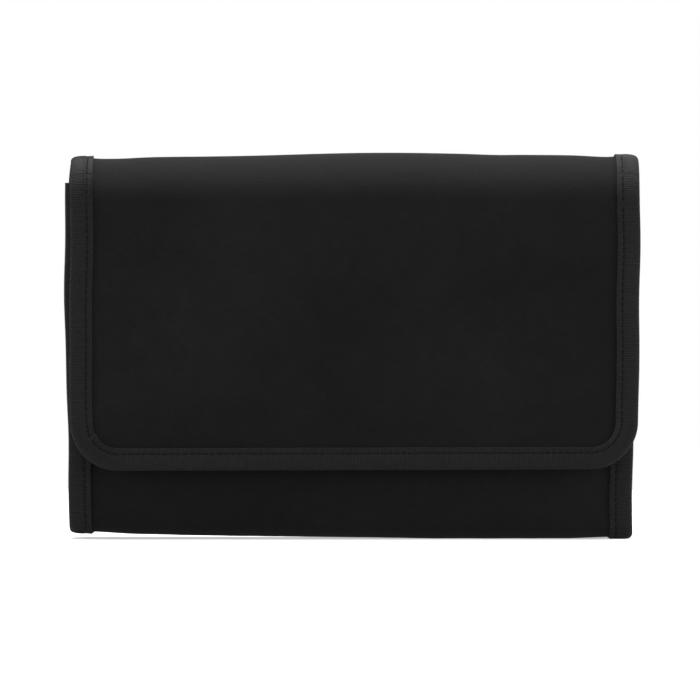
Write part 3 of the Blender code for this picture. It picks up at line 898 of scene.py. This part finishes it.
def make_patch(node, side_of_hooks):
    """A strip of hook-and-loop tape: a stitched base with hooks or with a pile of loops."""
    lo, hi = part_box(node)
    random.seed(node)
    base = 0.0011
    outward = 1.0 if side_of_hooks else -1.0
    back = lo.y if side_of_hooks else hi.y
    cols, rows = 40, 16
    points, flat = [], []
    for i in range(rows + 1):
        for j in range(cols + 1):
            s, t = j / cols, i / rows
            edge = min(s * cols, (1 - s) * cols, t * rows, (1 - t) * rows)
            pile = 0.0 if edge < 1.5 or side_of_hooks else 0.0008 * random.random()
            round_off = 0.0003 if edge < 0.5 else 0.0
            y = back + outward * (base + pile - round_off)
            points.append((lo.x + (hi.x - lo.x) * s, y, lo.z + (hi.z - lo.z) * t))
            flat.append((points[-1][0], points[-1][2]))
    faces = grid_faces(rows + 1, cols + 1)
    looks = [0] * len(faces)
    if side_of_hooks:
        pitch, size = 0.0017, 0.00022
        leans = ((0.0, -0.0002), (0.0, 0.0007), (0.00035, 0.0011), (0.0008, 0.0007))
        for i in range(int((hi.z - lo.z - 0.004) / pitch)):
            for j in range(int((hi.x - lo.x - 0.004) / pitch)):
                x = lo.x + 0.002 + (j + 0.5 * (i % 2)) * pitch + random.uniform(-1, 1) * 0.0001
                z = lo.z + 0.002 + i * pitch
                start = len(points)
                for lean, rise in leans:
                    y = back + outward * (base + rise)
                    for du, dv in ((-1, -1), (1, -1), (1, 1), (-1, 1)):
                        points.append((x + lean + du * size, y, z + dv * size))
                        flat.append((x, z))
                faces += [tuple(start + k for k in f) for f in grid_faces(4, 4, wrap=True)]
                faces.append(tuple(start + 12 + k for k in range(4)))
                looks += [0] * 13
    piece = add_piece(node.replace("patch", "tape"), points, faces, flat, ["touch_tape"], looks)
    thicken(piece, 0.0003)
    stand_in(piece, "touch_tape", "flap" if side_of_hooks else "front", node)


# ---- pockets


def pocket_plane(tier):
    """The mesh front's outer line, as (y, z) at the mouth and at the base, and its half-width."""
    lo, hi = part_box(f"{tier}_pocket_mesh")
    t = 0.0006
    if tier == "back":
        return (hi.y - t, lo.z), (lo.y, hi.z), hi.x
    return (lo.y + t, hi.z), (hi.y, lo.z), hi.x


def make_pocket_mesh(tier):
    """Knitted mesh: a honeycomb of threads inside a narrow turned hem."""
    (y0, z0), (y1, z1), half = pocket_plane(tier)
    length = math.hypot(y1 - y0, z1 - z0)
    pitch = 0.0026
    side = pitch / math.sqrt(3)
    points, faces, index = [], [], {}

    def vertex(x, s):
        key = (round(x * 1e5), round(s * 1e5))
        if key not in index:
            index[key] = len(points)
            x = min(max(x, -half), half)
            s = min(max(s, 0.0), length)
            inside = min(1.0, (half - abs(x)) / 0.03) * min(1.0, min(s, length - s) / 0.03)
            sag = 0.0007 * inside * (1 + noise.noise(Vector((x * 30, s * 30, 4.4))))
            share = s / length
            out = -1 if tier == "back" else 1
            y = y0 + (y1 - y0) * share - out * sag
            points.append((x, y, z0 + (z1 - z0) * share))
        return index[key]

    rows = int(length / (1.5 * side)) + 1
    cols = int(2 * half / pitch) + 1
    for i in range(rows):
        for j in range(cols):
            cx = -half + (j + 0.5 * (i % 2) + 0.5) * pitch
            cs = (i + 0.5) * 1.5 * side
            if abs(cx) > half - pitch / 2 or not side < cs < length - side:
                continue
            turns = [math.pi / 3 * k for k in range(6)]
            corners = [vertex(cx + side * math.sin(a), cs + side * math.cos(a)) for a in turns]
            faces.append(tuple(corners))
    flat = [(p[0], p[2]) for p in points]
    piece = add_piece(f"pocket_mesh_{tier}", points, faces, flat, ["mesh"], smooth=False)
    wire = piece.modifiers.new("threads", "WIREFRAME")
    wire.thickness, wire.use_even_offset, wire.use_relative_offset = 0.0005, False, False
    stand_in(piece, "mesh", tier, f"{tier}_pocket_mesh")


def make_pocket_hem(tier):
    """The tape that binds the mesh front's four edges, mitred at the corners and stitched down."""
    (y0, z0), (y1, z1), half = pocket_plane(tier)
    length = math.hypot(y1 - y0, z1 - z0)
    along = np.array([0.0, y1 - y0, z1 - z0]) / length
    out = np.cross(along, (1.0, 0.0, 0.0))
    if (out[1] < 0) != (tier == "back"):
        out = -out
    width, rise, step = 0.0055, 0.0004, 0.003

    def place(x, s, lift):
        return np.array([x, y0, z0]) + along * s + out * lift

    def frame_corners(inset):
        far, near = half - inset, inset
        return [(-far, near), (far, near), (far, length - near), (-far, length - near)]

    insets = (0.0, 0.0004, width - 0.0004, width)
    rings = [frame_corners(inset) for inset in insets]
    lifts = (0.0, rise, rise, 0.0)
    points, flat, run = [], [], 0.0
    for k in range(4):
        size = math.dist(rings[0][k], rings[0][(k + 1) % 4])
        steps = round(size / step)
        for i in range(steps):
            for ring, lift, inset in zip(rings, lifts, insets):
                ends = zip(ring[k], ring[(k + 1) % 4])
                x, s = ((1 - i / steps) * a + i / steps * b for a, b in ends)
                points.append(place(x, s, lift))
                flat.append((inset, run + size * i / steps))
        run += size
    rows = len(points) // 4
    last = (rows - 1) * 4
    faces = grid_faces(rows, 4) + [(last + j, last + j + 1, j + 1, j) for j in range(3)]
    looks = [0] * len(faces)
    line = frame_corners(width - 0.0015)
    for k in range(4):
        (xa, sa), (xb, sb) = line[k], line[(k + 1) % 4]
        size = math.dist((xa, sa), (xb, sb))
        for n in range(int(size / STITCH)):
            middle = (n + 0.5) * STITCH / size
            reach = 0.32 * STITCH / size
            shares = ((middle - reach, 0.0001), (middle, 0.0003), (middle + reach, 0.0001))
            path = []
            for t, high in shares:
                path.append(place(xa + (xb - xa) * t, sa + (sb - sa) * t, rise + high))
            add_thread(path, (0.0, 0.0), points, faces, flat, looks)
    piece = add_piece(f"pocket_hem_{tier}", points, faces, flat, ["binding", "thread"], looks)
    thicken(piece, 0.0003)
    stand_in(piece, "binding", tier, f"{tier}_pocket_mesh")


def make_gusset(tier, word):
    """A panel of the pocket's side or base, slack between its seams."""
    node = f"{tier}_gusset_{word}"
    lo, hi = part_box(node)
    rows, cols = 40, 12
    points, flat = [], []
    if word == "base":
        near, far, x0, x1 = lo.y, hi.y, lo.x, hi.x
        z = (lo.z + hi.z) / 2
        for i in range(cols + 1):
            for j in range(4 * rows + 1):
                s, t = j / (4 * rows), i / cols
                dip = 0.0006 * math.sin(math.pi * t) * (0.6 + 0.4 * math.sin(s * 31))
                x, y = x0 + (x1 - x0) * s, near + (far - near) * t
                points.append((x, y, z + (dip if tier == "back" else -dip)))
                flat.append((x, y))
        faces = grid_faces(cols + 1, 4 * rows + 1)
    else:
        x = (lo.x + hi.x) / 2
        inward = -1 if x > 0 else 1
        narrow, wide = gusset_depths(node, tier, lo, hi)
        for i in range(rows + 1):
            t = i / rows
            z = lo.z + (hi.z - lo.z) * t
            share = t if tier == "back" else 1 - t
            depth = narrow + (wide - narrow) * share
            near = hi.y if tier == "back" else lo.y
            out = -1 if tier == "back" else 1
            for j in range(cols + 1):
                s = j / cols
                wave = 0.85 + 0.15 * math.sin(t * 23)
                fold = min(0.30 * depth, 0.005) * (1 - abs(2 * s - 1)) * wave
                points.append((x + inward * fold, near + out * depth * s, z))
                flat.append((depth * s, z))
        faces = grid_faces(rows + 1, cols + 1)
    piece = add_piece(f"gusset_{tier}_{word}", points, faces, flat, ["cloth"])
    thicken(piece, 0.0005)
    stand_in(piece, "cloth", tier, node)


def gusset_depths(node, tier, lo, hi):
    """The side gusset's depth at the pocket's mouth and at its base."""
    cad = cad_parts[node].data.vertices
    corners = sorted({(round(v.co.y, 5), round(v.co.z, 5)) for v in cad})
    low = [y for y, z in corners if z < lo.z + 0.001]
    high = [y for y, z in corners if z > hi.z - 0.001]
    depths = (max(low) - min(low), max(high) - min(high))
    return depths if tier == "back" else tuple(reversed(depths))


# ---- zips


def tube(path, radius, sides):
    """Points and faces of a tube along a path of points."""
    path = np.asarray(path, float)
    tangent = np.gradient(path, axis=0)
    tangent /= np.linalg.norm(tangent, axis=1)[:, None]
    up = np.array([1.0, 0.3, 0.2])
    first = np.cross(tangent, up)
    first /= np.linalg.norm(first, axis=1)[:, None]
    second = np.cross(tangent, first)
    turn = (2 * math.pi * np.arange(sides) / sides)[None, :, None]
    ring = np.cos(turn) * first[:, None] + np.sin(turn) * second[:, None]
    points = (path[:, None] + radius * ring).reshape(-1, 3)
    faces = grid_faces(len(path), sides, wrap=True)
    faces += [tuple(reversed(range(sides))), tuple(range(len(points) - sides, len(points)))]
    return points, faces


def add_thread(path, place, points, faces, flat, looks):
    """Adds one stitch along a path, in the piece's second look; place is its flat place."""
    more, more_faces = tube(path, FINE_THREAD_R, THREAD_SIDES)
    faces += [tuple(len(points) + k for k in face) for face in more_faces]
    looks += [1] * len(more_faces)
    flat += [place] * len(more)
    points += list(more)


def make_coil(tier, word):
    """A nylon monofilament wound along the tape's edge, flattened where the teeth meet."""
    node = f"{tier}_coil_{word}_side"
    lo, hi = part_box(node)
    centre_y, centre_z = (lo.y + hi.y) / 2, (lo.z + hi.z) / 2
    wire = 0.00027
    pitch, steps = 0.0013, 12
    rise_y, rise_z = (hi.y - lo.y) / 2 - wire, (hi.z - lo.z) / 2 - wire
    turns = int((hi.x - lo.x - 2 * wire) / pitch)
    start = -turns * pitch / 2
    path = []
    for n in range(turns * steps + 1):
        a = 2 * math.pi * n / steps
        flat_y, flat_z = (math.copysign(abs(v) ** 0.7, v) for v in (math.cos(a), math.sin(a)))
        x = start + pitch * n / steps
        path.append((x, centre_y + rise_y * flat_y, centre_z + rise_z * flat_z))
    points, faces = tube(path, wire, 6)
    piece = add_piece(f"coil_{tier}_{word}", points, faces, points[:, [0, 2]], ["zip_coil"])
    stand_in(piece, "zip_coil", tier, node)


def make_zip_tape(tier, word):
    """Woven tape with a thicker edge beside the coil and a line of stitches near its other edge."""
    node = f"{tier}_zip_tape_{word}_side"
    lo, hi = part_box(node)
    coil_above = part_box(f"{tier}_coil_{word}_side")[0].z > lo.z
    cols, rows = 104, 16
    middle = (lo.y + hi.y) / 2
    out = 1 if tier == "front" else -1
    fall = 0.0021 if word == "lining" else 0.0

    def level(x, beside):
        """How high the tape lies: its far edge and its two ends come down to what it is sewn to."""
        end = 1 - ramp(hi.x - abs(x), 0.0, 0.006)
        down = 1 - (1 - end) * ramp(beside, 0.1, 0.6)
        return middle - out * fall * down

    points, flat = [], []
    for i in range(rows + 1):
        t = i / rows
        z = lo.z + (hi.z - lo.z) * t
        beside = t if coil_above else 1 - t
        raised = 0.00015 if beside > 0.85 else (-0.00012 if 0.25 < beside < 0.35 else 0.0)
        for j in range(cols + 1):
            x = lo.x + (hi.x - lo.x) * j / cols
            points.append((x, level(x, beside) + out * raised + 0.00008 * math.sin(x * 190), z))
            flat.append((x, z))
    faces = grid_faces(rows + 1, cols + 1)
    looks = [0] * len(faces)
    line = lo.z + (hi.z - lo.z) * (0.3 if coil_above else 0.7)
    arch = ((-0.001, 0.0002), (0.0, 0.0003), (0.001, 0.0002))
    for n in range(int((hi.x - lo.x - 0.004) / STITCH)):
        x = lo.x + 0.002 + (n + 0.5) * STITCH
        high = level(x, 0.3)
        path = [(x + dx, high + out * lift, line) for dx, lift in arch]
        add_thread(path, (x, line), points, faces, flat, looks)
    piece = add_piece(f"zip_tape_{tier}_{word}", points, faces, flat, ["zip_tape", "thread"], looks)
    thicken(piece, 0.0004)
    stand_in(piece, "zip_tape", tier, node)


# ---- hard pieces and foam


def soften(node, width, look):
    """Keeps a CAD piece, with its edges rounded and its own material."""
    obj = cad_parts[node]
    weld = obj.modifiers.new("weld", "WELD")
    weld.merge_threshold = 0.00001
    bevel = obj.modifiers.new("edges", "BEVEL")
    bevel.width, bevel.segments, bevel.limit_method = width, 3, "ANGLE"
    bevel.angle_limit = math.radians(35)
    bevel.use_clamp_overlap = True
    obj.data.materials.clear()
    obj.data.materials.append(LOOKS[look])


def make_foam(tier):
    """The stiffening board between cloth and lining, with rounded corners."""
    node = f"{tier}_foam"
    lo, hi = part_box(node)
    r, steps = 0.012, 6
    outline = []
    right, left, top, low = hi.x - r, lo.x + r, hi.z - r, lo.z + r
    for quarter, (cx, cz) in enumerate(((right, top), (left, top), (left, low), (right, low))):
        for i in range(steps + 1):
            a = math.pi / 2 * (quarter + i / steps)
            outline.append((cx + r * math.cos(a), cz + r * math.sin(a)))
    count = len(outline)
    soft = 0.0003
    mid_x, mid_z = (lo.x + hi.x) / 2, (lo.z + hi.z) / 2
    points = []
    for y, shrink in ((lo.y, soft), (lo.y + soft, 0.0), (hi.y - soft, 0.0), (hi.y, soft)):
        for x, z in outline:
            in_x, in_z = math.copysign(shrink, mid_x - x), math.copysign(shrink, mid_z - z)
            points.append((x + in_x, y, z + in_z))
    faces = grid_faces(4, count, wrap=True)
    faces += [tuple(range(count)), tuple(reversed(range(3 * count, 4 * count)))]
    flat = [(p[0], p[2]) for p in points]
    piece = add_piece(f"foam_{tier}", points, faces, flat, ["foam"], smooth=False)
    stand_in(piece, "foam", tier, node)


# ---- the bag


def main():
    make_camera()
    make_studio()
    for stretch in STRETCHES:
        strip_sheet("cloth", stretch, cloth_depth, CLOTH, cloth_rise)
        strip_sheet("lining", stretch, lining_depth, LINING, lining_swell)
    make_bindings()
    make_front_hem()
    for word in ("left", "right"):
        make_patch(f"flap_hook_patch_{word}", True)
        make_patch(f"front_loop_patch_{word}", False)
    for tier in ("back", "front"):
        make_foam(tier)
        make_pocket_mesh(tier)
        make_pocket_hem(tier)
        for word in ("base", "left", "right"):
            make_gusset(tier, word)
        for word in ("lining", "pocket"):
            make_coil(tier, word)
            make_zip_tape(tier, word)
        soften(f"{tier}_slider", 0.00025, "zip_metal")
        soften(f"{tier}_pull", 0.00025, "zip_metal")
    soften("hook", 0.0007, "hook_plastic")
    soften("hook_loop", 0.0003, "binding")


settled_cloth = simulate_cloth()
main()
